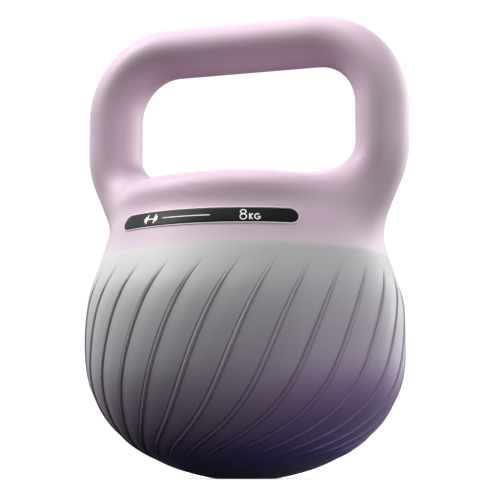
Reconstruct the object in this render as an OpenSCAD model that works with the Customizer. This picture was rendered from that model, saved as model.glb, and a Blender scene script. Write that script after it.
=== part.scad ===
// Soft-skinned kettlebell: a ball with a short neck and a closed loop handle.
// One soft skin covers the whole body. Inside it a bent steel tube runs round
// the handle, an anchor plate hangs from the tube's hidden bottom bar, and a
// liner holds the iron-sand ballast, filled through a plug in the base.
// Units are millimetres. Origin at the centre of the flat base, +Z up,
// +X to the right, and the label on the -Y side.

/* [Ball] */
// ball diameter before the neck is blended into it
ball_d = 185; // [150:1:222]
// height of the ball's widest level above the floor
ball_mid_h = 69; // [58:0.5:83]
// height of the ball's upper half before the neck is blended into it
ball_rise = 86.5; // [72:0.5:104]
// diameter of the flat that the ball stands on
base_flat_d = 34; // [30:1:46]

/* [Neck] */
// neck width across the handle
neck_w = 126; // [105:1:152]
// neck depth from front to back
neck_d = 128; // [107:1:154]
// height of the shelf under the hand, before the handle is blended into it
shelf_h = 163; // [153:1:175]
// length of the neck from the shelf down
neck_len = 60; // [50:1:72]
// rounding of the shelf's rim
rim_r = 8; // [6:0.5:10]
// size of the blend between the ball and the neck
neck_blend = 67; // [56:1:80]

/* [Handle] */
// overall height of the kettlebell
overall_h = 271; // [255:1:325]
// outside width across the handle
handle_w = 199.5; // [180:0.5:239.5]
// thickness of the grip, seen from the front
grip_t = 30; // [25:0.5:36]
// depth of the grip from front to back
grip_depth = 41; // [34:0.5:49]
// bend radius of the handle's middle line
bend_r = 40; // [33:0.5:44]
// how far the loop's hidden bottom bar lies below the shelf
bar_drop = 8.5; // [7:0.5:10]
// size of the blend between the handle and the body
leg_blend = 25; // [21:1:30]

/* [Skin] */
// thickness of the soft wall
wall = 4.5; // [3.5:0.5:5.5]
// thickness of the base round the filling hole
base_t = 9; // [8:0.5:11]
// clearance between neighbouring pieces
gap = 0.2; // [0.1:0.05:0.3]

/* [Handle core] */
// outside diameter of the steel tube
core_d = 20; // [16:0.5:24]
// wall of the steel tube
core_wall = 2; // [1.5:0.25:3]

/* [Anchor] */
// diameter of the studs welded under the bottom bar
stud_d = 8; // [6:1:10]
// length of the studs below the bottom bar
stud_len = 26; // [22:1:31]
// thickness of the anchor plate
plate_t = 4; // [3:0.5:5]
// distance from the plate's rim to the liner
plate_margin = 24; // [20:1:29]
// diameter of the sand holes in the plate
sand_hole_d = 14; // [10:1:17]

/* [Ballast] */
// thickness of the liner that holds the sand
liner_t = 1.5; // [1:0.25:2]
// distance from the sand's level up to the bottom bar
sand_drop = 2; // [1.5:0.5:6]

/* [Plug] */
// diameter of the plug's shank
plug_d = 14; // [12:0.2:17]
// width of the plug's rim beyond its shank
plug_rim = 4; // [3.5:0.5:5]
// thickness of the plug's rim
plug_rim_t = 2.2; // [1.8:0.1:2.6]
// how far the plug sits above the floor
plug_recess = 0.6; // [0.4:0.1:1]
// cord diameter of the seal ring
seal_d = 1.8; // [1.4:0.1:2.2]
// width of the driver slot in the plug
slot_w = 2.4; // [2:0.2:3]

/* [Label] */
// distance from the shelf down to the label's middle line
label_drop = 19; // [17:0.5:22]
// length of the label round the neck
label_len = 112; // [94:1:116]
// height of the label
label_tall = 8.2; // [7.6:0.1:9]
// thickness of the label film
label_t = 0.4; // [0.3:0.05:0.6]
// width of the pale rim round the label
label_rim_w = 0.5; // [0.4:0.1:0.8]
// distance round the neck from the front to the barbell sign
mark_at = -29; // [-31:0.5:-24]
// distance round the neck from the front to the end of the printed line
line_to = 9; // [0:0.5:14]
// distance round the neck from the front to the numeral
digit_at = 27.5; // [22:0.5:32]
// height of the printed numeral
digit_tall = 6; // [5:0.1:6.4]
// width of a printed stroke
stroke_w = 0.6; // [0.4:0.05:0.7]
// thickness of the raised print
print_t = 0.15; // [0.1:0.05:0.25]

/* [Hidden] */
sections = 84;
points_each = 50;
halvings = 17;
profile_steps = 18;
skin_sides = 40;
bore_sides = 24;
skew = 18;
reach_limit = 320;
spare = 1;
tiny = 0.01;
$fn = 96;

ball_r = ball_d / 2;
ball_low = ball_mid_h / sqrt(1 - pow(base_flat_d / ball_d, 2));
neck_low = shelf_h - neck_len;
neck_mid_h = shelf_h - neck_len / 2;
leg_x = (handle_w - grip_t) / 2;
loop_top = overall_h - grip_t / 2;
loop_low = shelf_h - bar_drop;
loop_mid = (loop_top + loop_low) / 2;
loop_half = (loop_top - loop_low) / 2;
core_r = core_d / 2;
cavity_top = shelf_h - wall;
liner_low = base_t + gap;
sand_low = liner_low + liner_t + gap;
sand_top = loop_low - core_r - sand_drop;
stud_r = stud_d / 2;
stud_low = loop_low - core_r - stud_len;
plate_h = loop_low - core_r - stud_len / 2;
plate_r = hollow_r(plate_h, wall + liner_t + 2 * gap) - plate_margin;
stud_x = plate_r * 0.6;
washer_t = 1.6;
washer_r = stud_d;
nut_t = stud_d * 0.8;
nut_r = stud_d * 0.92;
plug_r = plug_d / 2;
plug_rim_r = plug_r + plug_rim;
recess_deep = plug_recess + plug_rim_t + seal_d + gap;
label_h = shelf_h - label_drop;
label_r = surface_r(0, label_h);
label_half = label_tall / 2;
film_lift = gap / 4;
print_lift = film_lift + label_t + film_lift;

// ---- the rule of the body's shape ----

// soft union of two distances
function soft_min(a, b, k) = min(a, b) - pow(max(k - abs(a - b), 0), 2) / (4 * k);

// distance to an ellipse or ellipsoid, from its scaled length and gradient
function rounded(s, g) = s * (s - 1) / max(g, tiny * tiny);

function ball_gap(r, z) =
    let (b = z < ball_mid_h ? ball_low : ball_rise, h = z - ball_mid_h)
    rounded(norm([r / ball_r, h / b]), norm([r / pow(ball_r, 2), h / pow(b, 2)]));

function neck_gap(x, y, z) =
    let (w = neck_w / 2 - rim_r, d = neck_d / 2 - rim_r,
         e = rounded(norm([x / w, y / d]), norm([x / (w * w), y / (d * d)])),
         v = abs(z - neck_mid_h) - neck_len / 2 + rim_r)
    min(max(e, v), 0) + norm([max(e, 0), max(v, 0)]) - rim_r;

function loop_gap(x, y, z) =
    let (u = abs(x) - leg_x + bend_r, v = abs(z - loop_mid) - loop_half + bend_r,
         m = min(max(u, v), 0) + norm([max(u, 0), max(v, 0)]) - bend_r,
         a = grip_t / 2, b = grip_depth / 2)
    rounded(norm([m / a, y / b]), norm([m / (a * a), y / (b * b)]));

function body_gap(x, y, z) =
    soft_min(ball_gap(norm([x, y]), z), neck_gap(x, y, z), neck_blend);

function skin_gap(p) =
    max(soft_min(body_gap(p.x, p.y, p.z), loop_gap(p.x, p.y, p.z), leg_blend), -p.z - spare);

// how far the skin's surface lies from a point inside it, in one direction
function reach(c, way, near, far, left) =
    let (m = (near + far) / 2)
    left == 0 ? m
    : skin_gap(c + way * m) < 0 ? reach(c, way, m, far, left - 1)
    : reach(c, way, near, m, left - 1);

// how far the hand window's surface lies from the window's centre
function window_reach(c, way, near, far, left) =
    let (m = (near + far) / 2)
    left == 0 ? m
    : skin_gap(c + way * m) > 0 ? window_reach(c, way, m, far, left - 1)
    : window_reach(c, way, near, m, left - 1);

// radius of the skin's surface round the Z axis at one bearing and height
function surface_r(bearing, z) =
    reach([0, 0, z], [sin(bearing), -cos(bearing), 0], 0, reach_limit / 2, halvings);

// radius of a hollow that keeps one depth under the ball and neck
function hollow_r(z, deep, near = 0, far = 160, left = 17) =
    let (m = (near + far) / 2)
    left == 0 ? m
    : body_gap(m, 0, z) < -deep ? hollow_r(z, deep, m, far, left - 1)
    : hollow_r(z, deep, near, m, left - 1);

// ---- grids of points ----

// distance from the window's centre to the loop's middle line, at one angle
function loop_reach(way, near = 0, far = 240, left = 17) =
    let (m = (near + far) / 2, x = abs(way.x) * m, z = abs(way.z) * m,
         u = x - leg_x + bend_r, v = z - loop_half + bend_r,
         d = min(max(u, v), 0) + norm([max(u, 0), max(v, 0)]) - bend_r)
    left == 0 ? m
    : d < 0 ? loop_reach(way, m, far, left - 1) : loop_reach(way, near, m, left - 1);

// one closed section of the skin, in a half plane that turns about the window's axis
function section(turn) =
    let (way = [sin(turn), 0, -cos(turn)], hub = [0, 0, loop_mid],
         on = loop_reach(way),
         near = window_reach(hub, way, 0, on, halvings),
         far = on + reach(hub + way * on, way, 0, reach_limit, halvings),
         out = (near + far) / 2, c = hub + way * out)
    [for (j = [0 : points_each - 1])
        let (a = 360 * j / points_each, to = cos(a) * way + [0, sin(a), 0],
             most = reach_limit / 2,
             end = cos(a) < 0 ? min(most, -out / cos(a)) : most)
        c + to * reach(c, to, 0, end, halvings)];

// two triangles a cell, each cell cut along its shorter diagonal
function ring_faces(p, n, m) =
    [for (i = [0 : n - 1], j = [0 : m - 1])
        let (a = i * m + j, b = i * m + (j + 1) % m,
             c = (i + 1) % n * m + (j + 1) % m, d = (i + 1) % n * m + j)
        each norm(p[a] - p[c]) < norm(p[b] - p[d])
             ? [[a, c, b], [a, d, c]] : [[a, d, b], [b, d, c]]];

// a point on the skin, by its distance round the neck and its height
function on_skin(s, z, lift) =
    let (bearing = s / label_r * 180 / PI, r = surface_r(bearing, z) + lift)
    [r * sin(bearing), -r * cos(bearing), z];

// a thin band that lies on the skin along a closed path of [round, up] points
module closed_band(path, width, low, high) {
    n = len(path);
    rails = [for (i = [0 : n - 1])
        let (t = path[(i + 1) % n] - path[(i + n - 1) % n],
             side = [-t.y, t.x] / norm(t) * width / 2)
        each [on_skin(path[i].x - side.x, path[i].y - side.y, low),
              on_skin(path[i].x + side.x, path[i].y + side.y, low),
              on_skin(path[i].x + side.x, path[i].y + side.y, high),
              on_skin(path[i].x - side.x, path[i].y - side.y, high)]];
    polyhedron(points = rails, faces = ring_faces(rails, n, 4), convexity = 6);
}

// a thin stroke that lies on the skin along an open path
module stroke(path, width, low, high) {
    n = len(path);
    rails = [for (i = [0 : n - 1])
        let (t = path[min(i + 1, n - 1)] - path[max(i - 1, 0)],
             side = [-t.y, t.x] / norm(t) * width / 2)
        each [on_skin(path[i].x - side.x, path[i].y - side.y, low),
              on_skin(path[i].x + side.x, path[i].y + side.y, low),
              on_skin(path[i].x + side.x, path[i].y + side.y, high),
              on_skin(path[i].x - side.x, path[i].y - side.y, high)]];
    sides = [for (i = [0 : n - 2], j = [0 : 3], half = [0, 1])
        let (a = i * 4 + j, b = i * 4 + (j + 1) % 4, c = b + 4, d = a + 4)
        half == 0 ? [a, c, b] : [a, d, c]];
    last = 4 * (n - 1);
    ends = [[0, 1, 2], [0, 2, 3], [last, last + 2, last + 1], [last, last + 3, last + 2]];
    polyhedron(points = rails, faces = concat(sides, ends), convexity = 4);
}

function straight(a, b, n = 4) = [for (i = [0 : n]) a + (b - a) * i / n];

function arc(c, rx, ry, from, to, n) =
    [for (i = [0 : n]) let (t = from + (to - from) * i / n) c + [rx * cos(t), ry * sin(t)]];

// ---- shared shapes ----

// the handle's closed loop with a round section
module round_loop(r, sides = 96) {
    $fn = sides;
    half_w = leg_x - bend_r;
    half_h = loop_half - bend_r;
    translate([0, 0, loop_mid])
        rotate([90, 0, 0]) {
            for (side = [-1, 1]) {
                translate([0, side * loop_half, 0])
                    rotate([0, 90, 0])
                        cylinder(r = r, h = 2 * half_w, center = true);
                translate([side * leg_x, 0, 0])
                    rotate([90, 0, 0])
                        cylinder(r = r, h = 2 * half_h, center = true);
            }
            for (corner = [[1, 1, 0], [-1, 1, 90], [-1, -1, 180], [1, -1, 270]])
                translate([corner.x * half_w, corner.y * half_h, 0])
                    rotate([0, 0, corner.z])
                        rotate_extrude(angle = 90)
                            translate([bend_r, 0])
                                circle(r = r);
        }
}

// a solid of revolution that keeps one depth under the ball and neck
module hollow(low, top, deep, sides = 96) {
    side = [for (i = [0 : profile_steps])
        let (z = low + (top - low) * i / profile_steps) [hollow_r(z, deep), z]];
    rotate_extrude($fn = sides)
        polygon(concat([[0, low]], side, [[0, top]]));
}

module at_studs()
    for (side = [-1, 1])
        translate([side * stud_x, 0, 0])
            children();

// ---- the pieces ----

module skin() {
    grid = [for (i = [0 : sections - 1])
        let (t = 360 * i / sections) each section(t - skew * sin(t))];
    // brought to its full height, because the flat facets cut the curve's top short
    color("#c9b3cb")
        resize([0, 0, overall_h])
            difference() {
                polyhedron(points = grid, faces = ring_faces(grid, sections, points_each), convexity = 6);
                translate([0, 0, -2 * spare])
                    cube([ball_d, ball_d, 4 * spare], center = true);
                hollow(base_t, cavity_top, wall, skin_sides);
                round_loop((core_r + gap) / cos(180 / bore_sides), bore_sides);
                translate([0, 0, -1])
                    cylinder(r = plug_r + gap, h = base_t + 2, $fn = 2 * bore_sides);
                translate([0, 0, -1])
                    cylinder(r = plug_rim_r + gap, h = recess_deep + 1, $fn = 2 * bore_sides);
            }
}

module handle_core() {
    color("#8d9299")
        difference() {
            round_loop(core_r);
            round_loop(core_r - core_wall);
        }
}

module core_studs() {
    color("#9aa0a6")
        difference() {
            at_studs()
                translate([0, 0, stud_low])
                    cylinder(r = stud_r, h = loop_low - stud_low);
            translate([0, 0, loop_low])
                rotate([0, 90, 0])
                    cylinder(r = core_r + gap / 4, h = 2 * leg_x, center = true);
        }
}

module anchor_plate() {
    color("#7f858b")
        translate([0, 0, plate_h - plate_t / 2])
            difference() {
                cylinder(r = plate_r, h = plate_t);
                at_studs()
                    translate([0, 0, -1])
                        cylinder(r = stud_r + gap, h = plate_t + 2);
                for (turn = [45 : 90 : 315])
                    rotate([0, 0, turn])
                        translate([stud_x, 0, -1])
                            cylinder(d = sand_hole_d, h = plate_t + 2);
            }
}

module anchor_washers() {
    color("#b4b8bc")
        at_studs()
            for (z = [plate_h + plate_t / 2 + gap / 4, plate_h - plate_t / 2 - gap / 4 - washer_t])
                translate([0, 0, z])
                    difference() {
                        cylinder(r = washer_r, h = washer_t);
                        translate([0, 0, -1])
                            cylinder(r = stud_r + gap, h = washer_t + 2);
                    }
}

module anchor_nuts() {
    reach_up = plate_t / 2 + washer_t + gap / 2;
    color("#a4a8ac")
        at_studs()
            for (z = [plate_h + reach_up, plate_h - reach_up - nut_t])
                translate([0, 0, z])
                    difference() {
                        cylinder(r = nut_r, h = nut_t, $fn = 6);
                        translate([0, 0, -1])
                            cylinder(r = stud_r + gap / 4, h = nut_t + 2);
                    }
}

module liner() {
    color("#d8d4c8")
        difference() {
            hollow(liner_low, sand_top, wall + gap);
            difference() {
                hollow(liner_low + liner_t, sand_top + 1, wall + gap + liner_t);
                translate([0, 0, sand_top + 2])
                    cylinder(r = ball_r, h = 1);
            }
            translate([0, 0, liner_low - 1])
                cylinder(r = plug_r + gap, h = liner_t + 2);
        }
}

module ballast() {
    nut_space = plate_t / 2 + washer_t + nut_t + 2 * gap;
    color("#4c4a4b")
        difference() {
            hollow(sand_low, sand_top, wall + liner_t + 2 * gap);
            translate([0, 0, plate_h - plate_t / 2 - gap])
                cylinder(r = plate_r + gap, h = plate_t + 2 * gap);
            at_studs() {
                translate([0, 0, stud_low - gap])
                    cylinder(r = stud_r + gap, h = sand_top - stud_low + 1);
                translate([0, 0, plate_h - nut_space])
                    cylinder(r = max(washer_r, nut_r) + gap, h = 2 * nut_space);
            }
        }
}

module fill_plug() {
    color("#2c2c52")
        difference() {
            union() {
                translate([0, 0, plug_recess])
                    cylinder(r = plug_rim_r, h = plug_rim_t);
                translate([0, 0, plug_recess + plug_rim_t / 2])
                    cylinder(r = plug_r, h = base_t - plug_recess - plug_rim_t / 2);
            }
            translate([0, 0, plug_recess])
                cube([plug_rim_r * 1.3, slot_w, plug_rim_t], center = true);
        }
}

module plug_seal() {
    color("#242424")
        translate([0, 0, plug_recess + plug_rim_t + seal_d / 2 + gap / 2])
            rotate_extrude()
                translate([plug_r + seal_d / 2 + gap, 0])
                    circle(d = seal_d);
}

module label() {
    cols = 56;
    rows = 8;
    flat = label_len / 2 - label_half;
    function spot(i, j, lift) =
        let (v = sin(-90 + 180 * j / rows), u = 2 * i / cols - 1,
             half = flat + label_half * sqrt(max(1 - v * v, tiny)))
        on_skin(u * half, label_h + v * label_half, lift);
    low = [for (i = [0 : cols], j = [0 : rows]) spot(i, j, film_lift)];
    high = [for (i = [0 : cols], j = [0 : rows]) spot(i, j, film_lift + label_t)];
    count = len(low);
    function at(i, j) = i * (rows + 1) + j;
    rim = concat([for (i = [0 : cols - 1]) at(i, 0)], [for (j = [0 : rows - 1]) at(cols, j)],
                 [for (i = [cols : -1 : 1]) at(i, rows)], [for (j = [rows : -1 : 1]) at(0, j)]);
    top = [for (i = [0 : cols - 1], j = [0 : rows - 1], half = [0, 1])
        half == 0 ? [at(i, j), at(i + 1, j + 1), at(i + 1, j)]
        : [at(i, j), at(i, j + 1), at(i + 1, j + 1)]];
    edge = [for (k = [0 : len(rim) - 1], half = [0, 1])
        let (a = rim[k], b = rim[(k + 1) % len(rim)])
        half == 0 ? [a, b + count, b] : [a, a + count, b + count]];
    color("#151a1c")
        polyhedron(points = concat(low, high),
                   faces = concat([for (f = top) [f[0], f[2], f[1]]],
                                  [for (f = top) [for (k = f) k + count]], edge),
                   convexity = 4);
}

module label_rim() {
    out = label_rim_w / 2 + gap;
    flat = label_len / 2 - label_half;
    r = label_half + out;
    side_n = 44;
    end_n = 14;
    path = concat(
        [for (i = [0 : side_n - 1]) [-flat + 2 * flat * i / side_n, label_h - r]],
        [for (i = [0 : end_n - 1]) let (t = -90 + 180 * i / end_n)
            [flat + r * cos(t), label_h + r * sin(t)]],
        [for (i = [0 : side_n - 1]) [flat - 2 * flat * i / side_n, label_h + r]],
        [for (i = [0 : end_n - 1]) let (t = 90 + 180 * i / end_n)
            [-flat + r * cos(t), label_h + r * sin(t)]]);
    color("#d9cbd6")
        closed_band(path, label_rim_w, film_lift, film_lift + label_t);
}

// a plain barbell sign and a thin line beside it
module label_mark() {
    mid = mark_at;
    arm = label_tall * 0.62;
    high = print_lift + print_t;
    color("#f2f2f0") {
        stroke(straight([mid - arm, label_h], [mid + arm, label_h], 8), stroke_w, print_lift, high);
        for (side = [-1, 1], disc = [[0.56, 0.32], [0.82, 0.2]]) {
            x = mid + side * arm * disc[0];
            up = label_tall * disc[1];
            for (way = [-1, 1])
                stroke(straight([x, label_h + way * (stroke_w / 2 + gap / 4)], [x, label_h + way * up]),
                       stroke_w * 1.4, print_lift, high);
        }
        stroke(straight([mid + arm * 1.7, label_h], [line_to, label_h], 12),
               stroke_w * 0.8, print_lift, high);
    }
}

// the weight in kilograms: a numeral and two small letters
module label_weight() {
    base = label_h - digit_tall / 2;
    high = print_lift + print_t;
    x = digit_at;
    eight_w = digit_tall * 0.3;
    small = digit_tall * 0.6;
    low_r = digit_tall * 0.27;
    top_r = digit_tall * 0.5 - low_r - stroke_w / 2 - gap / 8;
    low_c = [x, base + low_r];
    top_c = [x, base + 2 * low_r + stroke_w + gap / 4 + top_r];
    k_x = x + digit_tall * 0.58;
    g_x = k_x + small * 0.76;
    g_r = small / 2 - stroke_w / 2;
    color("#f2f2f0") {
        closed_band([for (p = arc(low_c, eight_w, low_r, 0, 345, 23)) p], stroke_w, print_lift, high);
        closed_band([for (p = arc(top_c, eight_w * 0.9, top_r, 0, 345, 23)) p], stroke_w, print_lift, high);
        stroke(straight([k_x, base], [k_x, base + small]), stroke_w, print_lift, high);
        for (way = [-1, 1])
            stroke(straight([k_x + stroke_w * 0.75, base + small / 2 + way * stroke_w * 0.62],
                            [k_x + small * 0.46, base + small / 2 + way * (small / 2 - stroke_w / 4)]),
                   stroke_w, print_lift, high);
        stroke(concat(arc([g_x + g_r, base + small / 2], g_r, g_r, 50, 345, 18),
                      [[g_x + g_r, base + small / 2 - stroke_w * 0.6]]),
               stroke_w, print_lift, high);
    }
}

skin();
handle_core();
core_studs();
anchor_plate();
anchor_washers();
anchor_nuts();
liner();
ballast();
fill_plug();
plug_seal();
label();
label_rim();
label_mark();
label_weight();
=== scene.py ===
import math

import bmesh
import bpy
import numpy as np
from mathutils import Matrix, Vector


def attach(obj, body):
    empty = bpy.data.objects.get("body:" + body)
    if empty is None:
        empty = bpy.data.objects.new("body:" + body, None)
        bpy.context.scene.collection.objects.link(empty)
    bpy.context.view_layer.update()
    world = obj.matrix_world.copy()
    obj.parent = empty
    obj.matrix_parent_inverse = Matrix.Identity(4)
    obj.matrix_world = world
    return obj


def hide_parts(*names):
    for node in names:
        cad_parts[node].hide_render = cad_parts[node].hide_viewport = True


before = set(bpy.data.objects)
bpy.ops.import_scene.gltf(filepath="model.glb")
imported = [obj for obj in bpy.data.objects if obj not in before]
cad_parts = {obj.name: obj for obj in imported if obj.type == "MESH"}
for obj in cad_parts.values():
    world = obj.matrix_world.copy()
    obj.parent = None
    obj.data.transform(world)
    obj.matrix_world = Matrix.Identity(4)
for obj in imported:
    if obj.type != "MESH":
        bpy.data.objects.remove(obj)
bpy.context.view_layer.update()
mm = 0.001  # a millimetre, in metres
print("frame loaded")

# the body's rule, in millimetres: a ball and a short neck run together, and a closed loop runs into both
bodyShape = {
    "ballRadius": 92.5,
    "ballMiddle": 69.0,
    "ballRise": 86.5,
    "flatRadius": 17.0,
    "neckHalfWidth": 73.6,
    "neckHalfDepth": 73.3,
    "neckLow": 97.5,
    "neckTop": 170.7,
    "rimRound": 12.9,
    "neckBlend": 47.2,
    "waistDip": 2.8,
    "waistHeight": 153.0,
    "waistSoft": 8.0,
    "legX": 84.75,
    "loopTop": 256.0,
    "loopLow": 154.5,
    "bendRadius": 40.0,
    "gripHalf": 15.0,
    "gripHalfDepth": 20.5,
    "legBlend": 22.4,
}


def softMin(a, b, k):
    # the smaller of two distances, eased into each other over k
    return np.minimum(a, b) - np.maximum(k - np.abs(a - b), 0) ** 2 / (4 * k)


def roundGap(share, slope):
    # distance from an ellipse, from how far out a point lies on it and how fast that grows
    return share * (share - 1) / np.maximum(slope, 1e-9)


def bodyGap(p):
    # distance from the surface of the ball and neck, negative inside them
    s = bodyShape
    x, y, z = p[..., 0], p[..., 1], p[..., 2]
    low = s["ballMiddle"] / math.sqrt(1 - (s["flatRadius"] / s["ballRadius"]) ** 2)
    b = np.where(z < s["ballMiddle"], low, s["ballRise"])
    r, h, a = np.hypot(x, y), z - s["ballMiddle"], s["ballRadius"]
    ball = roundGap(np.hypot(r / a, h / b), np.hypot(r / a**2, h / b**2))
    w, d = s["neckHalfWidth"] - s["rimRound"], s["neckHalfDepth"] - s["rimRound"]
    e = roundGap(np.hypot(x / w, y / d), np.hypot(x / w**2, y / d**2))
    v = np.abs(z - (s["neckLow"] + s["neckTop"]) / 2) - (s["neckTop"] - s["neckLow"]) / 2 + s["rimRound"]
    neck = np.minimum(np.maximum(e, v), 0) + np.hypot(np.maximum(e, 0), np.maximum(v, 0)) - s["rimRound"]
    # a shallow waist on the front and back of the neck, under the shelf's rim
    waist = s["waistDip"] * np.exp(-((z - s["waistHeight"]) / s["waistSoft"]) ** 2)
    return softMin(ball, neck, s["neckBlend"]) + waist * y * y / np.maximum(x * x + y * y, 1)


def loopGap(p):
    # distance from the closed loop: an oval section round a rounded rectangle
    s = bodyShape
    middle, half = (s["loopTop"] + s["loopLow"]) / 2, (s["loopTop"] - s["loopLow"]) / 2
    u = np.abs(p[..., 0]) - s["legX"] + s["bendRadius"]
    v = np.abs(p[..., 2] - middle) - half + s["bendRadius"]
    m = np.minimum(np.maximum(u, v), 0) + np.hypot(np.maximum(u, 0), np.maximum(v, 0)) - s["bendRadius"]
    a, b, y = s["gripHalf"], s["gripHalfDepth"], p[..., 1]
    return roundGap(np.hypot(m / a, y / b), np.hypot(m / a**2, y / b**2))


def skinGap(p):
    return softMin(bodyGap(p), loopGap(p), bodyShape["legBlend"])


def skinNormal(p):
    step = 0.02 * np.eye(3)
    n = np.stack([skinGap(p + step[k]) - skinGap(p - step[k]) for k in range(3)], -1)
    return n / np.linalg.norm(n, axis=-1, keepdims=True)


def reach(start, way, near, far, inside=True):
    # halves the stretch again and again until it meets the surface
    near = np.zeros(way.shape[:-1]) + near
    far = np.zeros(way.shape[:-1]) + far
    for step in range(32):
        half = (near + far) / 2
        within = (skinGap(start + way * half[..., None]) < 0) == inside
        near, far = np.where(within, half, near), np.where(within, far, half)
    return (near + far) / 2


def onNeck(along, z, lift=0.0):
    # a point on the neck from its distance round the front and its height, raised along the surface normal
    along, z = np.broadcast_arrays(np.asarray(along, float), np.asarray(z, float))
    bearing = along / labelSizes["roundRadius"]
    way = np.stack([np.sin(bearing), -np.cos(bearing), 0 * z], -1)
    start = np.stack([0 * z, 0 * z, z], -1)
    p = start + way * reach(start, way, 0, 120)[..., None]
    return p + skinNormal(p) * np.asarray(lift)[..., None]


class Wire:
    # one socket of a graph, with the arithmetic that the finishes and the rib tree use
    def __init__(self, graph, socket):
        self.graph, self.socket = graph, socket

    def math(self, operation, *values):
        return self.graph.add("ShaderNodeMath", {"operation": operation}, dict(enumerate((self, *values))))

    def __add__(self, other):
        return self.math("ADD", other)

    def __radd__(self, other):
        return self.math("ADD", other)

    def __sub__(self, other):
        return self.math("SUBTRACT", other)

    def __rsub__(self, other):
        return self.graph.add("ShaderNodeMath", {"operation": "SUBTRACT"}, {0: other, 1: self})

    def __mul__(self, other):
        return self.math("MULTIPLY", other)

    def __rmul__(self, other):
        return self.math("MULTIPLY", other)

    def __truediv__(self, other):
        return self.math("DIVIDE", other)

    def smooth(self, low, high):
        # 0 below low, 1 above high, eased between
        return self.graph.add("ShaderNodeMapRange", {"interpolation_type": "SMOOTHSTEP"},
                              {"Value": self, "From Min": low, "From Max": high})


class Graph:
    # a node tree and the one method that adds a node to it: settings first, then sockets by name or number
    def __init__(self, tree):
        self.tree = tree

    def add(self, kind, settings=None, sockets=None, out=0):
        n = self.tree.nodes.new(kind)
        for key, value in (settings or {}).items():
            if key == "stops":
                self.setStops(n.color_ramp, value)
            else:
                setattr(n, key, value)
        for key, value in (sockets or {}).items():
            if isinstance(value, Wire):
                self.tree.links.new(value.socket, n.inputs[key])
            else:
                n.inputs[key].default_value = value
        return Wire(self, n.outputs[out])

    def setStops(self, ramp, stops):
        while len(ramp.elements) < len(stops):
            ramp.elements.new(1.0)
        for stop, (place, colour) in zip(ramp.elements, stops):
            stop.position, stop.color = place, (*colour, 1.0)

    def mix(self, factor, a, b):
        # a and b are colours or wires; sockets 6 and 7 are the colour pair of a Mix node
        pair = {6: a if isinstance(a, Wire) else (*a, 1.0), 7: b if isinstance(b, Wire) else (*b, 1.0)}
        return self.add("ShaderNodeMix", {"data_type": "RGBA"}, {0: factor, **pair}, out=2)

    def along(self, place, way):
        # how far a place lies along a direction
        return self.add("ShaderNodeVectorMath", {"operation": "DOT_PRODUCT"}, {0: place, 1: way}, out=1)


class Finish(Graph):
    # a material with a Principled shader whose even values sit on its own sockets
    def __init__(self, name, **even):
        self.material = bpy.data.materials.new(name)
        self.material.use_nodes = True
        super().__init__(self.material.node_tree)
        self.shader = self.tree.nodes["Principled BSDF"]
        for key, value in even.items():
            self.shader.inputs[key].default_value = value
        self.place = self.add("ShaderNodeTexCoord", out=3)

    def set(self, key, wire):
        self.tree.links.new(wire.socket, self.shader.inputs[key])

    def noise(self, scale, detail=3.0, rough=0.5, stretch=(1, 1, 1), seed=0.0):
        place = self.place
        if stretch != (1, 1, 1) or seed:
            place = self.add("ShaderNodeMapping", None,
                             {"Vector": place, "Location": (seed, seed * 0.7, seed * 1.3), "Scale": stretch})
        return self.add("ShaderNodeTexNoise", None,
                        {"Vector": place, "Scale": scale, "Detail": detail, "Roughness": rough})

    def axis(self, k):
        return self.add("ShaderNodeSeparateXYZ", None, {0: self.place}, out=k)

    def bump(self, height, strength, distance):
        self.set("Normal", self.add("ShaderNodeBump", None,
                                    {"Strength": strength, "Distance": distance, "Height": height}))


def srgb(*screen):
    # a colour as a paint chart gives it, from 0 to 255, made linear
    share = [c / 255 for c in screen]
    return tuple(c / 12.92 if c <= 0.04045 else ((c + 0.055) / 1.055) ** 2.4 for c in share)


# camera: degrees that it stands to one side and looks up, metres away, and millimetres of lens
viewSizes = {
    "turn": 20.906,
    "lookUp": 7.052,
    "distance": 1.05007,
    "focal": 130.05,
    "sensor": 36.0,
    "aside": 0.0003,
    "aimHeight": 0.136378,
}
# each lamp's steps to the right, towards the front and up, its size and its power
lamps = {
    "left": ((-1.25, 0.1, 0.75), (0.7, 0.9), 3.9),
    "leftHigh": ((-1.1, 0.5, 0.9), (0.7, 0.7), 1.8),
    "leftBack": ((-1.0, -0.9, 0.5), (0.7, 0.9), 3.0),
    "right": ((1.3, 0.0, 0.4), (0.7, 0.9), 5.0),
    "rightBack": ((1.0, -0.9, 0.45), (0.6, 0.9), 10.5),
    "rightFront": ((1.0, 0.9, 0.35), (0.7, 0.9), 4.6),
    "rightHigh": ((0.8, 0.6, 1.0), (0.7, 0.7), 0.9),
    "top": ((0.0, 0.0, 1.4), (0.7, 0.7), 9.8),
    "topLeft": ((-0.9, 0.0, 1.2), (0.7, 0.7), 16.0),
    "topFront": ((0.0, 0.9, 1.2), (0.7, 0.7), 1.4),
    "topBack": ((0.0, -1.0, 1.1), (0.7, 0.7), 4.8),
    "front": ((0.0, 1.4, 0.4), (0.7, 0.7), 2.6),
}
lampAim = (0, 0, 0.13)
# strength of the glow round the object, and of the plain backdrop
roomLight = {
    "behind": 0.24,
    "behindSpan": (-0.6, 0.4),
    "front": 0.13,
    "frontSpan": (0.1, 0.9),
    "below": 0.065,
    "belowSpan": (-0.35, 0.15),
    "backdrop": 1.05,
}
floorLook = {
    "size": 6.0,
    "paint": 0.88,
    "paintWorn": 0.92,
    "roughness": 0.7,
    "glowNear": 0.55,
    "glowFar": 1.05,
    "nearEnd": 0.1,
    "farStart": 0.7,
}


def aroundView(right, front, up):
    # a place given by steps to the camera's right, from the object towards the camera, and up
    a = math.radians(viewSizes["turn"])
    return (right * math.cos(a) + front * math.sin(a), right * math.sin(a) - front * math.cos(a), up)


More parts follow.
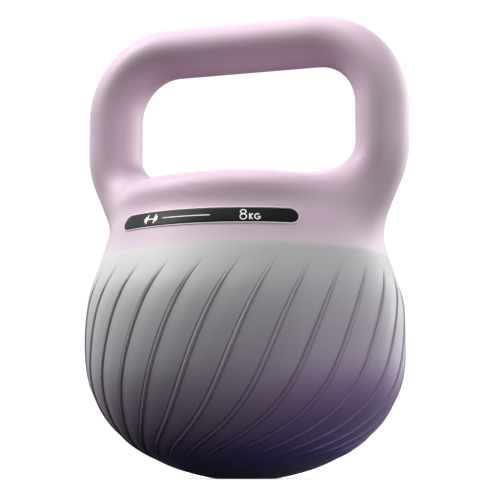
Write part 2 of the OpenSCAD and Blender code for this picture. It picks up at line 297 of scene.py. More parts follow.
def aimAt(o, place, way):
    # stands a camera or lamp at a place and turns it along a direction
    o.location = place
    o.rotation_euler = way.to_track_quat("-Z", "Y").to_euler()
    bpy.context.scene.collection.objects.link(o)


def setCamera():
    v = viewSizes
    turn, pitch = math.radians(v["turn"]), math.radians(v["lookUp"])
    look = Vector((-math.sin(turn) * math.cos(pitch), math.cos(turn) * math.cos(pitch), math.sin(pitch)))
    right = Vector((math.cos(turn), math.sin(turn), 0))
    lens = bpy.data.cameras.new("viewCamera")
    lens.lens, lens.sensor_width = v["focal"], v["sensor"]
    lens.clip_start, lens.clip_end = 0.05, 50.0
    camera = bpy.data.objects.new("viewCamera", lens)
    aimAt(camera, Vector((0, 0, v["aimHeight"])) + right * v["aside"] - look * v["distance"], look)
    bpy.context.scene.camera = camera
    bpy.context.scene.view_settings.view_transform = "Standard"


def setLamps():
    for name, (steps, size, power) in lamps.items():
        lamp = bpy.data.lights.new(name, "AREA")
        lamp.shape, lamp.size, lamp.size_y, lamp.energy = "RECTANGLE", size[0], size[1], power
        o = bpy.data.objects.new(name, lamp)
        place = aroundView(*steps)
        aimAt(o, place, Vector(lampAim) - Vector(place))
        o.visible_camera = False


def setRoom():
    # a soft glow from behind and a weaker one from the front; the backdrop itself is seen as plain white
    world = bpy.data.worlds.new("paleStudio")
    world.use_nodes = True
    g, r = Graph(world.node_tree), roomLight
    way = g.add("ShaderNodeTexCoord")
    ahead = g.along(way, aroundView(0, 1, 0))
    up = g.add("ShaderNodeSeparateXYZ", None, {0: way}, out=2)
    glow = (1 - ahead.smooth(*r["behindSpan"])) * r["behind"] + ahead.smooth(*r["frontSpan"]) * r["front"]
    glow = glow * (up.smooth(*r["belowSpan"]) * (1 - r["below"]) + r["below"])
    seen = g.add("ShaderNodeLightPath")
    share = seen * r["backdrop"] + (1 - seen) * glow
    back = g.tree.nodes["Background"]
    back.inputs["Color"].default_value = (1, 1, 1, 1)
    g.tree.links.new(share.socket, back.inputs["Strength"])
    bpy.context.scene.world = world


def setFloor():
    # a lit white table: it glows more away from the object, so that its far edge melts into the backdrop
    look = floorLook
    half = look["size"] / 2
    mesh = bpy.data.meshes.new("paleFloor")
    mesh.from_pydata([(-half, -half, 0), (half, -half, 0), (half, half, 0), (-half, half, 0)], [], [(0, 1, 2, 3)])
    floor = bpy.data.objects.new("paleFloor", mesh)
    bpy.context.scene.collection.objects.link(floor)
    pale = Finish("paleFloorPaint", **{"Roughness": look["roughness"], "Emission Strength": 1.0})
    pale.set("Base Color", pale.mix(pale.noise(3.0), (look["paint"],) * 3, (look["paintWorn"],) * 3))
    far = pale.add("ShaderNodeVectorMath", {"operation": "LENGTH"}, {0: pale.place}, out=1)
    far = far.smooth(look["nearEnd"], look["farStart"])
    pale.set("Emission Color", pale.mix(far, (look["glowNear"],) * 3, (look["glowFar"],) * 3))
    mesh.materials.append(pale.material)
    floor.visible_diffuse = floor.visible_glossy = False  # it throws no light back up


setCamera()
setRoom()
setFloor()
setLamps()
print("stage set")


# soft skin, in millimetres and degrees: a ribbed ball, and a smooth neck and loop above it
skinSizes = {
    "ribCount": 27,
    "firstRib": 1.9,
    "sweepEven": 24.0,
    "sweepLow": 43.0,
    "sweepHigh": 20.0,
    "sweepStop": -0.85,
    "sweepStopSoft": 12.0,
    "beadWidth": 2.5,
    "beadHeight": 0.8,
    "beadRound": 1.3,
    "creaseWidth": 0.85,
    "creaseDepth": 0.62,
    "crown": 0.35,
    "lowEnd": 10.0,
    "lowFade": 8.0,
    "highEnd": 124.0,
    "highFade": 24.0,
    "thinFade": 50.0,
    "thinTop": 0.6,
    "crowdedPitch": 4.0,
    "openPitch": 16.0,
    "thinCrowded": 0.35,
    "recessRadius": 11.2,
    "recessDeep": 4.8,
    "boreRadius": 7.2,
    "boreDeep": 9.1,
    "edgeRound": 0.4,
}
# how finely the skin is laid out: columns crowd together at each rib
skinSteps = {
    "fineColumn": 0.022,
    "fineColumns": 5,
    "wideColumns": (0.135, 0.165, 0.22, 0.3, 0.4),
    "ballRows": 104,
    "ballTilt": 130.0,
    "joinHeight": 130.0,
    "joinGap": 1.0,
    "cutMargin": 14.0,
    "nearCut": 0.6,
    "weld": 0.35,
    "loopSections": 250,
    "loopCrowd": 20.0,
    "sectionPoints": 160,
    "farOut": 160.0,
}


def ribSweep(z, r):
    # degrees that a rib has turned at a height: little at the middle and more towards the base
    s = skinSizes
    slope = np.arctan2(z - bodyShape["ballMiddle"], r)
    m = np.log(np.tan(math.pi / 4 + slope / 2))
    m = s["sweepStop"] + np.logaddexp(0, (m - s["sweepStop"]) * s["sweepStopSoft"]) / s["sweepStopSoft"]
    return s["sweepEven"] * m + np.where(m < 0, s["sweepLow"], s["sweepHigh"]) * m**3


def ballGrid():
    s, steps = skinSizes, skinSteps
    centre = np.array([0.0, 0.0, bodyShape["ballMiddle"]])
    # meridian of the ball at the front, spaced evenly along its length
    first = math.atan2(bodyShape["flatRadius"], bodyShape["ballMiddle"])
    tilt = np.linspace(first, math.radians(steps["ballTilt"]), 2400)
    way = np.stack([0 * tilt, -np.sin(tilt), -np.cos(tilt)], -1)
    line = centre + way * reach(centre, way, 0, steps["farOut"])[:, None]
    below = line[:, 2] <= steps["joinHeight"]
    tilt, line = tilt[below], line[below]
    length = np.concatenate([[0], np.cumsum(np.linalg.norm(np.diff(line, axis=0), axis=1))])
    rows = np.interp(np.linspace(0, length[-1], steps["ballRows"]), length, tilt)
    rowZ, rowR = np.interp(rows, tilt, line[:, 2]), np.interp(rows, tilt, -line[:, 1])
    # columns on both sides of each rib, as shares of the pitch between two ribs
    side = [steps["fineColumn"] * (k + 1) for k in range(steps["fineColumns"])] + list(steps["wideColumns"])
    columns = [-0.5] + [-x for x in side[::-1]] + [0.0] + side
    cells = (np.arange(s["ribCount"])[:, None] + np.array(columns)[None]).reshape(-1)
    sweep = ribSweep(rowZ, rowR)
    bearing = np.radians(s["firstRib"] + cells[None] * 360 / s["ribCount"] + sweep[:, None])
    out = np.sin(rows)[:, None]
    way = np.stack([out * np.sin(bearing), -out * np.cos(bearing), 0 * bearing - np.cos(rows)[:, None]], -1)
    points = centre + way * reach(centre, way, 0, steps["farOut"])[..., None]
    points[0, :, 2] = 0
    lean = np.cos(np.arctan(np.radians(np.gradient(sweep, length[-1] / (steps["ballRows"] - 1))) * rowR))
    pitch = 2 * math.pi * np.hypot(points[..., 0], points[..., 1]) / s["ribCount"] * lean[:, None]
    return points, np.broadcast_to(cells[None], pitch.shape), pitch, bearing


def recessRings(bearing):
    # rounded rim, wall, floor, bore and cap of the filling recess in the base
    s = skinSizes
    e, wall, bore = s["edgeRound"], s["recessRadius"], s["boreRadius"]
    rings = [(wall + e - e * math.sin(a), e - e * math.cos(a)) for a in np.radians((0, 30, 60, 90))]
    rings += [(wall, s["recessDeep"] / 2), (wall, s["recessDeep"]), ((wall + bore) / 2, s["recessDeep"]),
              (bore, s["recessDeep"]), (bore, s["boreDeep"]), (bore / 2, s["boreDeep"])]
    return [np.stack([r * np.sin(bearing), -r * np.cos(bearing), z + 0 * bearing], -1) for r, z in rings]


def loopGrid():
    # closed sections in half planes that turn about the hand window's axis
    s, steps = bodyShape, skinSteps
    middleHeight, half = (s["loopTop"] + s["loopLow"]) / 2, (s["loopTop"] - s["loopLow"]) / 2
    hub = np.array([0.0, 0.0, middleHeight])
    t = np.linspace(0, 360, steps["loopSections"], endpoint=False)
    turn = np.radians(t - steps["loopCrowd"] * np.sin(np.radians(t)))
    way = np.stack([np.sin(turn), 0 * turn, -np.cos(turn)], -1)
    far = np.minimum(s["legX"] / np.maximum(np.abs(way[:, 0]), 1e-6), half / np.maximum(np.abs(way[:, 2]), 1e-6))
    # the middle line of the loop lies inside the skin at every angle
    span = np.linspace(0, 1, 400)[None] * far[:, None]
    u = np.abs(way[:, :1]) * span - s["legX"] + s["bendRadius"]
    v = np.abs(way[:, 2:]) * span - half + s["bendRadius"]
    d = np.minimum(np.maximum(u, v), 0) + np.hypot(np.maximum(u, 0), np.maximum(v, 0)) - s["bendRadius"]
    on = span[np.arange(len(t)), np.argmin(np.abs(d), axis=1)]
    inner = reach(hub, way, 0, on, inside=False)
    outer = on + reach(hub + way * on[:, None], way, 0, 260)
    middle = (inner + outer) / 2
    a = np.radians(np.linspace(0, 360, steps["sectionPoints"], endpoint=False))
    to = np.cos(a)[None, :, None] * way[:, None] + np.stack([0 * a, np.sin(a), 0 * a], -1)[None]
    # a section stops at the window's axis, so that it never crosses its neighbour
    back = np.cos(a)[None] < -1e-6
    limit = np.where(back, -middle[:, None] / np.where(back, np.cos(a)[None], -1), 180)
    centre = (hub + way * middle[:, None])[:, None]
    return centre + to * reach(centre, to, 0, np.minimum(limit, 180))[..., None]


def zipRings(low, high, lowBearing, highBearing):
    # a strip of triangles between two closed rings, each sorted by bearing
    def turned(bearings, k):
        return bearings[k % len(bearings)] + 2 * math.pi * (k // len(bearings))

    faces, i, j = [], 0, 0
    while i < len(low) or j < len(high):
        a, b = low[i % len(low)], high[j % len(high)]
        lowIsNext = turned(lowBearing, i + 1) <= turned(highBearing, j + 1)
        if j >= len(high) or (i < len(low) and lowIsNext):
            faces.append((a, low[(i + 1) % len(low)], b))
            i += 1
        else:
            faces.append((a, high[(j + 1) % len(high)], b))
            j += 1
    return faces


def upperSkin():
    # the loop's sections, cut off level just above the ribbed ball
    grid = loopGrid()
    n, m = grid.shape[:2]
    steps = skinSteps
    cut = steps["joinHeight"] + steps["joinGap"]
    keep = (grid[..., 2] > cut - steps["cutMargin"]).reshape(-1)
    bm = bmesh.new()
    verts = [bm.verts.new(p) for p in grid.reshape(-1, 3)]
    for i in range(n):
        for j in range(m):
            q = [i * m + j, i * m + (j + 1) % m, (i + 1) % n * m + (j + 1) % m, (i + 1) % n * m + j]
            if keep[q].all():
                bm.faces.new([verts[k] for k in q])
    bmesh.ops.delete(bm, geom=[v for v in bm.verts if not v.link_faces], context="VERTS")
    bmesh.ops.bisect_plane(bm, geom=bm.verts[:] + bm.edges[:] + bm.faces[:], plane_co=(0, 0, cut), plane_no=(0, 0, 1),
                           clear_inner=True, dist=1e-5)
    # points that lie almost on the cut are drawn to it, so that no sliver is left there
    edge = [v for v in bm.verts if abs(v.co.z - cut) < steps["nearCut"]]
    for v in edge:
        if not v.is_boundary and abs(v.co.z - cut) < steps["weld"]:
            v.co.z = cut
    bmesh.ops.remove_doubles(bm, verts=edge, dist=steps["weld"])
    bmesh.ops.triangulate(bm, faces=[f for f in bm.faces if len(f.verts) > 4])
    bm.verts.ensure_lookup_table()
    bm.verts.index_update()
    points = np.array([v.co for v in bm.verts])
    faces = [[v.index for v in f.verts] for f in bm.faces]
    rim = np.array([v.index for v in bm.verts if v.is_boundary])
    bm.free()
    return points, faces, rim


def meshFrom(name, points, faces, finish=None):
    # a smooth closed mesh from millimetres, with its faces turned outwards
    mesh = bpy.data.meshes.new(name)
    mesh.from_pydata((np.asarray(points) * mm).tolist(), [], [[int(k) for k in f] for f in faces])
    bm = bmesh.new()
    bm.from_mesh(mesh)
    bmesh.ops.recalc_face_normals(bm, faces=bm.faces[:])
    bm.to_mesh(mesh)
    bm.free()
    mesh.polygons.foreach_set("use_smooth", [True] * len(mesh.polygons))
    if finish:
        mesh.materials.append(finish)
    return mesh


def skinMesh():
    points, cellAt, pitch, bearing = ballGrid()
    rows, columns = bearing.shape
    rings = recessRings(bearing[0])
    top, topFaces, rim = upperSkin()
    lower = np.concatenate([points.reshape(-1, 3)] + rings + [np.array([[0, 0, skinSizes["boreDeep"]]])])
    faces = []

    def strip(low, high):
        for j in range(columns):
            k = (j + 1) % columns
            faces.append((low + j, low + k, high + k, high + j))

    for i in range(rows - 1):
        strip(i * columns, (i + 1) * columns)
    # the recess runs down from the ball's first row, and ends in a fan round its middle point
    starts = [0] + [(rows + k) * columns for k in range(len(rings))]
    for high, low in zip(starts[::-1][1:], starts[::-1]):
        strip(low, high)
    faces += [(len(lower) - 1, starts[-1] + (j + 1) % columns, starts[-1] + j) for j in range(columns)]

    # the ball's last row and the cut edge of the upper skin are zipped together by bearing
    lowRim = np.arange((rows - 1) * columns, rows * columns)
    lowBearing, highBearing = (np.arctan2(p[:, 0], -p[:, 1]) % (2 * math.pi) for p in (points[-1], top[rim]))
    lowOrder, highOrder = np.argsort(lowBearing), np.argsort(highBearing)
    faces += zipRings(lowRim[lowOrder], rim[highOrder] + len(lower), lowBearing[lowOrder], highBearing[highOrder])
    faces += [[k + len(lower) for k in f] for f in topFaces]

    mesh = meshFrom("softSkin", np.concatenate([lower, top]), faces)
    for name, values in (("ribCell", cellAt), ("ribPitch", pitch)):
        layer = mesh.attributes.new(name, "FLOAT", "POINT")
        data = np.zeros(len(mesh.vertices), np.float32)
        data[: rows * columns] = values.reshape(-1)
        layer.data.foreach_set("value", data)
    return mesh


def ribTree():
    # raises the ribs out of the ball: a round bead between two creases, and a slight crown on each panel
    tree = bpy.data.node_groups.new("ballRibs", "GeometryNodeTree")
    names = {"Bead Width": "beadWidth", "Bead Height": "beadHeight", "Bead Round": "beadRound",
             "Crease Width": "creaseWidth", "Crease Depth": "creaseDepth", "Panel Crown": "crown",
             "Low End": "lowEnd", "Low Fade": "lowFade", "High End": "highEnd", "High Fade": "highFade",
             "Thin Fade": "thinFade", "Thin Top": "thinTop", "Crowded Pitch": "crowdedPitch",
             "Open Pitch": "openPitch", "Thin Crowded": "thinCrowded"}
    tree.interface.new_socket("Geometry", in_out="INPUT", socket_type="NodeSocketGeometry")
    for name in names:
        tree.interface.new_socket(name, in_out="INPUT", socket_type="NodeSocketFloat")
    tree.interface.new_socket("Finish", in_out="INPUT", socket_type="NodeSocketMaterial")
    tree.interface.new_socket("Geometry", in_out="OUTPUT", socket_type="NodeSocketGeometry")
    g = Graph(tree)
    entry = tree.nodes.new("NodeGroupInput")
    size = {key: Wire(g, entry.outputs[name]) for name, key in names.items()}

    cell, pitch = (g.add("GeometryNodeInputNamedAttribute", {"data_type": "FLOAT"}, {"Name": name})
                   for name in ("ribCell", "ribPitch"))
    # distance from the nearest rib's middle line, as a share of the pitch and in millimetres
    off = ((cell + 0.5).math("FRACT") - 0.5).math("ABSOLUTE")
    away = off * pitch
    z = g.add("ShaderNodeSeparateXYZ", None, {0: g.add("GeometryNodeInputPosition")}, out=2) / mm
    # a rib grows thinner towards its top and where the ribs crowd together
    thin = 1 - z.smooth(size["highEnd"] - size["thinFade"], size["highEnd"]) * size["thinTop"]
    thin = thin * (pitch.smooth(size["crowdedPitch"], size["openPitch"]) * size["thinCrowded"]
                   + (1 - size["thinCrowded"]))
    halfBead = size["beadWidth"] * thin / 2
    bead = (away / halfBead * math.pi / 2).math("MINIMUM", math.pi / 2).math("COSINE")
    bead = bead.math("POWER", size["beadRound"])
    # the crease follows the bead's edge and ends just short of its width on either side
    side = ((away - halfBead) / size["creaseWidth"] * 1.2).math("ABSOLUTE").math("MINIMUM", 1.0)
    crease = 1 - side.smooth(0.0, 1.0)
    crown = (off * (2 * math.pi)).math("COSINE") * -0.5 + 0.5
    fade = z.smooth(size["lowEnd"], size["lowEnd"] + size["lowFade"])
    fade = fade * (1 - z.smooth(size["highEnd"] - size["highFade"], size["highEnd"]))
    # past the ball the pitch is nothing, so nothing rises there
    fade = fade * pitch.smooth(0.5, 2.0)
    rise = (bead * size["beadHeight"] - crease * size["creaseDepth"] + crown * size["crown"]) * fade * mm
    out = g.add("GeometryNodeInputNormal")
    offset = g.add("ShaderNodeVectorMath", {"operation": "SCALE"}, {0: out, "Scale": rise})
    raised = g.add("GeometryNodeSetPosition", None, {"Geometry": Wire(g, entry.outputs["Geometry"]), "Offset": offset})
    # the crease mask is also kept on the mesh, for the painted crease shade in the skin's colour
    marked = g.add("GeometryNodeStoreNamedAttribute", {"data_type": "FLOAT", "domain": "POINT"},
                   {"Geometry": raised, "Name": "creaseShade", "Value": crease * fade})
    real = g.add("GeometryNodeRealizeInstances", None, {0: marked})
    done = g.add("GeometryNodeSetMaterial", None, {"Geometry": real, "Material": Wire(g, entry.outputs["Finish"])})
    tree.links.new(done.socket, tree.nodes.new("NodeGroupOutput").inputs["Geometry"])
    return tree, {name: skinSizes[key] for name, key in names.items()}


def keepResult(o, tree, values):
    # runs a tree once and keeps its result as a plain mesh
    modifier = o.modifiers.new("rule", "NODES")
    modifier.node_group = tree
    sockets = {i.name: i.identifier for i in tree.interface.items_tree if i.in_out == "INPUT"}
    for name, value in values.items():
        modifier[sockets[name]] = value
    bpy.context.view_layer.update()
    result = bpy.data.meshes.new_from_object(o.evaluated_get(bpy.context.evaluated_depsgraph_get()))
    o.modifiers.remove(modifier)
    old, o.data = o.data, result
    bpy.data.meshes.remove(old)
    for name in [a.name for a in result.attributes if a.name.startswith("rib")]:
        result.attributes.remove(result.attributes[name])


# colours of the skin, and where they meet, in metres
skinPaint = {
    "pink": (0.545, 0.405, 0.5),
    "palePink": (0.68, 0.57, 0.64),
    "paleHigh": 0.014,
    "paleShare": 0.6,
    "navy": (0.033, 0.012, 0.35),
    "navyHigh": 0.031,
    "borderHeight": 0.1283,
    "borderSoft": 0.0017,
    "leanSide": (0.966, -0.26, 0.0),
    "lean": 0.45,
    "leanSoft": 0.02,
    "leanFar": 0.35,
    "fadeLow": -0.015,
    "fadeHigh": 0.125,
    "drift": 0.008,
    # the dark colour painted into the rib creases, and how strongly: painted shade, not a colour of the skin
    "crease": (0.06, 0.05, 0.07),
    "paintedCreaseShadeShare": 0.55,
    "mottle": (0.2, 0.17, 0.21),
    "mottleShare": 0.035,
    "roughness": 0.47,
    "roughnessDrift": 0.12,
    "grainDepth": 0.00012,
}
# the ball's colour along the fade, from the violet of its low end to the pale grey of its high end
fadeColours = (
    (0.0, (0.175, 0.1, 0.34)), (0.1, (0.185, 0.117, 0.32)), (0.19, (0.26, 0.18, 0.345)), (0.3, (0.35, 0.285, 0.41)),
    (0.42, (0.345, 0.31, 0.375)), (0.57, (0.375, 0.362, 0.393)), (0.68, (0.405, 0.4, 0.417)),
    (0.8, (0.455, 0.455, 0.46)), (0.9, (0.545, 0.545, 0.547)), (1.0, (0.63, 0.628, 0.63)))


def softSkinFinish():
    f = Finish("softSkinPaint", **{"Specular IOR Level": 0.7, "Sheen Weight": 0.12, "Sheen Roughness": 0.5})
    p, z = skinPaint, f.axis(2)
    # the violet reaches higher on one side of the ball, and a little higher again on the far side
    aside = f.along(f.place, p["leanSide"])
    aside = aside * (1 - p["leanFar"]) / 2 + (aside * aside + p["leanSoft"] ** 2).math("SQRT") * (1 + p["leanFar"]) / 2
    drift = (f.noise(9.0, 2.0) - 0.5) * p["drift"]
    share = (z - aside * p["lean"] + drift - p["fadeLow"]) / (p["fadeHigh"] - p["fadeLow"])
    ball = f.add("ShaderNodeValToRGB", {"stops": fadeColours}, {0: share})
    ball = f.mix(1 - (z + drift).smooth(0.0, p["navyHigh"]), ball, p["navy"])
    low, high = p["borderHeight"] - p["borderSoft"], p["borderHeight"] + p["borderSoft"]
    edge = (z + (f.noise(60.0, 2.0) - 0.5) * 0.0006).smooth(low, high)
    pale = 1 - z.smooth(p["borderHeight"], p["borderHeight"] + p["paleHigh"])
    colour = f.mix(edge, ball, f.mix(pale * p["paleShare"], p["pink"], p["palePink"]))
    # painted shade: the skin's colour is darkened along the rib creases
    crease = f.add("ShaderNodeAttribute", {"attribute_name": "creaseShade"}, out=2)
    colour = f.mix(crease * p["paintedCreaseShadeShare"], colour, p["crease"])
    mottle = f.noise(35.0, 4.0, seed=3.0).smooth(0.25, 0.75)
    f.set("Base Color", f.mix(mottle * p["mottleShare"], colour, p["mottle"]))
    f.set("Roughness", f.noise(120.0, 3.0, seed=5.0) * p["roughnessDrift"] + p["roughness"])
    grain = f.noise(1400.0, 2.0) * 0.6 + f.noise(420.0, 2.0, seed=2.0) * 0.4
    f.bump(grain, 0.12, p["grainDepth"])
    return f.material


def addPiece(name, mesh, cadNode):
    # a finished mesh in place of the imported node, on the one body there is
    o = bpy.data.objects.new(name, mesh)
    bpy.context.scene.collection.objects.link(o)
    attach(o, "root")
    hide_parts(cadNode)
    return o


def ribbedSkin():
    plain = bpy.data.objects.new("plainSkin", skinMesh())
    bpy.context.scene.collection.objects.link(plain)
    tree, sizes = ribTree()
    keepResult(plain, tree, {**sizes, "Finish": softSkinFinish()})
    mesh = plain.data
    bpy.data.objects.remove(plain)
    mesh.name = "softSkin"
    return mesh


skin = addPiece("softSkin", ribbedSkin(), "skin")
print("skin done:", len(skin.data.polygons), "faces")


# label, in millimetres: a thin black film with round ends, a pale edge line and a raised print
labelSizes = {
    "roundRadius": 78.6,
    "middleHeight": 144.0,
    "middleAt": 2.4,
    "halfLength": 56.0,
    "halfTall": 4.1,
    "endRound": 5.2,
    "filmThick": 0.4,
    "filmRound": 0.35,
    "filmColumns": 220,
    "filmRows": 24,
    "sunk": 0.15,
    "printSunk": 0.05,
    "edgeWidth": 0.5,
    "edgeGap": 0.2,
    "edgeHigh": 0.42,
    "printHigh": 0.1,
    "strokeWidth": 0.6,
    "signAt": -29.0,
    "lineTo": 9.0,
    "numeralAt": 27.5,
    "numeralTall": 6.0,
}


def ribbon(path, width, low, high, closed=False):
    # a raised line on the neck: six rails round its section, with rounded top corners
    path = np.asarray(path, float)
    n = len(path)
    t = np.roll(path, -1, 0) - np.roll(path, 1, 0) if closed else np.gradient(path, axis=0)
    side = np.stack([-t[:, 1], t[:, 0]], -1) / np.linalg.norm(t, axis=1, keepdims=True) * width / 2
    corner = high - 0.25 * (high - low)
    section = ((-1, low), (-1, corner), (-0.8, high), (0.8, high), (1, corner), (1, low))
    rails = [onNeck(*(path + side * across).T, np.full(n, lift)) for across, lift in section]
    points = np.stack(rails, 1).reshape(-1, 3)
    m, faces = len(section), []
    for i in range(n if closed else n - 1):
        for j in range(m):
            k, nextI = (j + 1) % m, (i + 1) % n
            faces.append((i * m + j, i * m + k, nextI * m + k, nextI * m + j))
    if not closed:
        faces += [tuple(range(m)), tuple(range((n - 1) * m, n * m))[::-1]]
    return points, faces


def gather(parts):
    # several lines as one mesh
    points, faces, start = [], [], 0
    for p, f in parts:
        points.append(p)
        faces += [[k + start for k in face] for face in f]
        start += len(p)
    return np.concatenate(points), faces


def straight(a, b, n):
    return np.linspace(a, b, n + 1)


def roundPath(centre, rx, rz, start, end, n):
    a = np.radians(np.linspace(start, end, n))
    return np.stack([centre[0] + rx * np.cos(a), centre[1] + rz * np.sin(a)], -1)


def filmMesh(finish):
    s = labelSizes
    columns, rows = s["filmColumns"], s["filmRows"]
    u = np.linspace(-1, 1, columns + 1)
    u = np.sign(u) * (1 - (1 - np.abs(u)) ** 1.25)  # finer towards the round ends
    v = np.sin(np.linspace(-math.pi / 2, math.pi / 2, rows + 1))
    straightHalf = s["halfLength"] - s["endRound"]
    half = straightHalf + s["endRound"] * np.sqrt(np.maximum(1 - v * v, 0.0004))
    along, up = u[:, None] * half[None], np.broadcast_to(v * s["halfTall"], (columns + 1, rows + 1))
    # distance in from the outline gives the film its rounded edge
    squeeze = s["halfTall"] / s["endRound"]
    inset = np.maximum(s["halfTall"] - np.hypot(np.maximum(np.abs(along) - straightHalf, 0) * squeeze, up), 0)
    curve = np.clip(inset / s["filmRound"], 0, 1)
    lift = s["filmThick"] * np.sqrt(np.clip(1 - (1 - curve) ** 2, 0, 1))
    sides = [onNeck(along + s["middleAt"], up + s["middleHeight"], h) for h in (lift, lift * 0 - s["sunk"])]
    points = np.concatenate([p.reshape(-1, 3) for p in sides])
    w, count = rows + 1, (columns + 1) * (rows + 1)
    faces = []
    for i in range(columns):
        for j in range(rows):
            q = (i * w + j, (i + 1) * w + j, (i + 1) * w + j + 1, i * w + j + 1)
            faces += [q, tuple(k + count for k in q[::-1])]
    rim = [i * w for i in range(columns)] + [columns * w + j for j in range(rows)]
    rim += [i * w + rows for i in range(columns, 0, -1)] + list(range(rows, 0, -1))
    for a, b in zip(rim, rim[1:] + rim[:1]):
        faces.append((a, b, b + count, a + count))
    return meshFrom("labelFilm", points, faces, finish)


def edgeMesh(finish):
    s = labelSizes
    r, flat = s["halfTall"] + s["edgeGap"] + s["edgeWidth"] / 2, s["halfLength"] - s["endRound"]
    long = r + s["endRound"] - s["halfTall"]
    left, right, z = s["middleAt"] - flat, s["middleAt"] + flat, s["middleHeight"]
    path = np.concatenate([
        straight((left, z - r), (right, z - r), 110)[:-1], roundPath((right, z), long, r, -90, 90, 25)[:-1],
        straight((right, z + r), (left, z + r), 110)[:-1], roundPath((left, z), long, r, 90, 270, 25)[:-1]])
    return meshFrom("labelEdge", *ribbon(path, s["edgeWidth"], -s["sunk"], s["edgeHigh"], True), finish)


def signMesh(finish):
    # a plain barbell sign with a thin line beside it
    s = labelSizes
    z, low, high = s["middleHeight"], s["filmThick"] - s["printSunk"], s["filmThick"] + s["printHigh"]
    arm, middle, stroke = s["halfTall"] * 1.24, s["signAt"], s["strokeWidth"]
    parts = [ribbon(straight((middle - arm, z), (middle + arm, z), 16), stroke, low, high)]
    for side in (-1, 1):
        for out, share in ((0.56, 0.64), (0.82, 0.4)):
            x, tall = middle + side * arm * out, s["halfTall"] * share
            parts.append(ribbon(straight((x, z - tall), (x, z + tall), 12), stroke * 1.5, low, high + 0.02))
    parts.append(ribbon(straight((middle + arm * 1.7, z), (s["lineTo"], z), 40), stroke * 0.8, low, high))
    return meshFrom("labelSign", *gather(parts), finish)


def weightMesh(finish):
    # an 8 of two rings, then a small K and G; lines that cross differ a little in height
    s = labelSizes
    base, low = s["middleHeight"] - s["numeralTall"] / 2, s["filmThick"] - s["printSunk"]
    high, w, tall = s["filmThick"] + s["printHigh"], s["strokeWidth"], s["numeralTall"]
    cross, x, small = high + 0.01, s["numeralAt"], s["numeralTall"] * 0.6
    lowHalf = tall * 0.28
    topHalf = (tall - 2 * lowHalf) / 2
    parts = [
        ribbon(roundPath((x, base + lowHalf), tall * 0.29, lowHalf - w / 4, 0, 352, 44), w, low, high, True),
        ribbon(roundPath((x, base + 2 * lowHalf + topHalf - w / 4), tall * 0.25, topHalf - w / 4, 0, 352, 44), w, low,
               cross, True)]
    kAt, middle = x + tall * 0.58, base + small / 2
    parts.append(ribbon(straight((kAt, base), (kAt, base + small), 12), w, low, high))
    for way in (-1, 1):
        foot, tip = (kAt + w * 0.3, middle + way * w * 0.1), (kAt + small * 0.46, middle + way * (small / 2 - w / 4))
        parts.append(ribbon(straight(foot, tip, 10), w, low, cross))
    gAt, gRound = kAt + small * 0.76, small / 2 - w / 2
    parts.append(ribbon(roundPath((gAt + gRound, middle), gRound, gRound, 50, 350, 40), w, low, high))
    bar = middle - w * 0.3
    parts.append(ribbon(straight((gAt + gRound * 1.05, bar), (gAt + 2 * gRound + w * 0.3, bar), 6), w, low, cross))
    return meshFrom("labelWeight", *gather(parts), finish)


def filmFinish():
    f = Finish("labelFilmBlack", **{"Specular IOR Level": 0.12})
    fine = f.noise(900.0, 3.0)
    f.set("Base Color", f.mix(fine.smooth(0.3, 0.7), srgb(8, 11, 12), srgb(14, 17, 18)))
    f.set("Roughness", f.noise(300.0, 2.0, seed=1.0) * 0.14 + 0.36)
    f.bump(fine, 0.08, 0.00006)
    return f.material


def edgeFinish():
    f = Finish("labelEdgePale")
    f.set("Base Color", f.mix(f.noise(700.0, 2.0), srgb(226, 212, 222), srgb(238, 228, 236)))
    f.set("Roughness", f.noise(500.0, 2.0) * 0.1 + 0.35)
    f.bump(f.noise(1500.0), 0.05, 0.00005)
    return f.material


def printFinish():
    f = Finish("labelPrintWhite")
    f.set("Base Color", f.mix(f.noise(900.0, 2.0), srgb(236, 236, 234), srgb(246, 246, 244)))
    f.set("Roughness", f.noise(500.0, 2.0) * 0.15 + 0.4)
    f.bump(f.noise(2500.0), 0.05, 0.00004)
    return f.material


whitePrint = printFinish()
addPiece("labelFilm", filmMesh(filmFinish()), "label")
addPiece("labelEdge", edgeMesh(edgeFinish()), "label_rim")
addPiece("labelSign", signMesh(whitePrint), "label_mark")
addPiece("labelWeight", weightMesh(whitePrint), "label_weight")
print("label done")


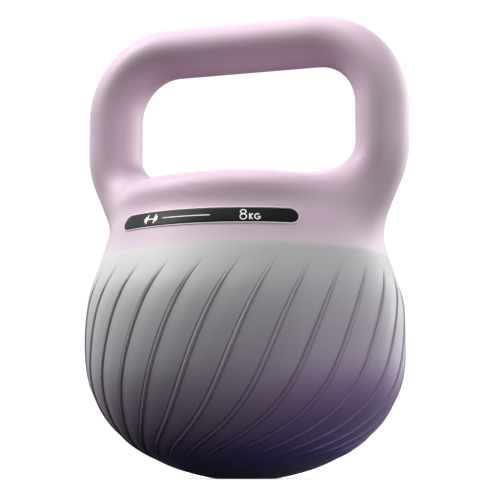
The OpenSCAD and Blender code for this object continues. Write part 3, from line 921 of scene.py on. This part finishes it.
def steelFinish(name, light, dark, rough, across=(1, 1, 1)):
    f = Finish(name, Metallic=1.0)
    streak = f.noise(260.0, 5.0, 0.6, stretch=across)
    f.set("Base Color", f.mix(streak.smooth(0.3, 0.7), dark, light))
    f.set("Roughness", streak * 0.2 + rough)
    f.bump(streak, 0.1, 0.0001)
    return f.material


def plasticFinish(name, light, dark, rough, scale=220.0):
    f = Finish(name)
    mottle = f.noise(scale, 4.0)
    f.set("Base Color", f.mix(mottle.smooth(0.3, 0.7), dark, light))
    f.set("Roughness", f.noise(scale * 2, 2.0, seed=1.0) * 0.15 + rough)
    f.bump(f.noise(scale * 6, 3.0, seed=2.0), 0.15, 0.0001)
    return f.material


def sandFinish():
    f = Finish("ironSand")
    grain = f.add("ShaderNodeTexVoronoi", None, {"Vector": f.place, "Scale": 1300.0})
    tone = f.noise(1800.0, 4.0)
    f.set("Base Color", f.mix(tone.smooth(0.35, 0.7), srgb(38, 36, 38), srgb(96, 92, 94)))
    f.set("Roughness", tone * 0.3 + 0.55)
    f.bump(grain, 0.6, 0.0005)
    return f.material


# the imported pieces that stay: steel core, anchor, liner, sand and plug
zinc = steelFinish("zincPlated", (0.66, 0.67, 0.69), (0.5, 0.51, 0.54), 0.28)
keptFinishes = {
    "handle_core": steelFinish("tubeSteel", (0.56, 0.57, 0.59), (0.4, 0.41, 0.43), 0.3, (0.3, 1, 1)),
    "core_studs": steelFinish("studSteel", (0.6, 0.61, 0.63), (0.45, 0.46, 0.48), 0.3, (1, 1, 8)),
    "anchor_plate": steelFinish("plateSteel", (0.46, 0.47, 0.49), (0.33, 0.34, 0.36), 0.4),
    "anchor_washers": zinc,
    "anchor_nuts": zinc,
    "liner": plasticFinish("linerPlastic", srgb(226, 222, 210), srgb(208, 204, 190), 0.45),
    "ballast": sandFinish(),
    "fill_plug": plasticFinish("plugNavy", srgb(26, 20, 66), srgb(12, 8, 46), 0.42),
    "plug_seal": plasticFinish("sealRubber", srgb(34, 34, 35), srgb(20, 20, 21), 0.6, 500.0),
}
for name, finish in keptFinishes.items():
    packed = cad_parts[name]
    if not packed.material_slots:
        packed.data.materials.append(finish)
    for part in packed.material_slots:
        part.material = finish
print("packed pieces finished")
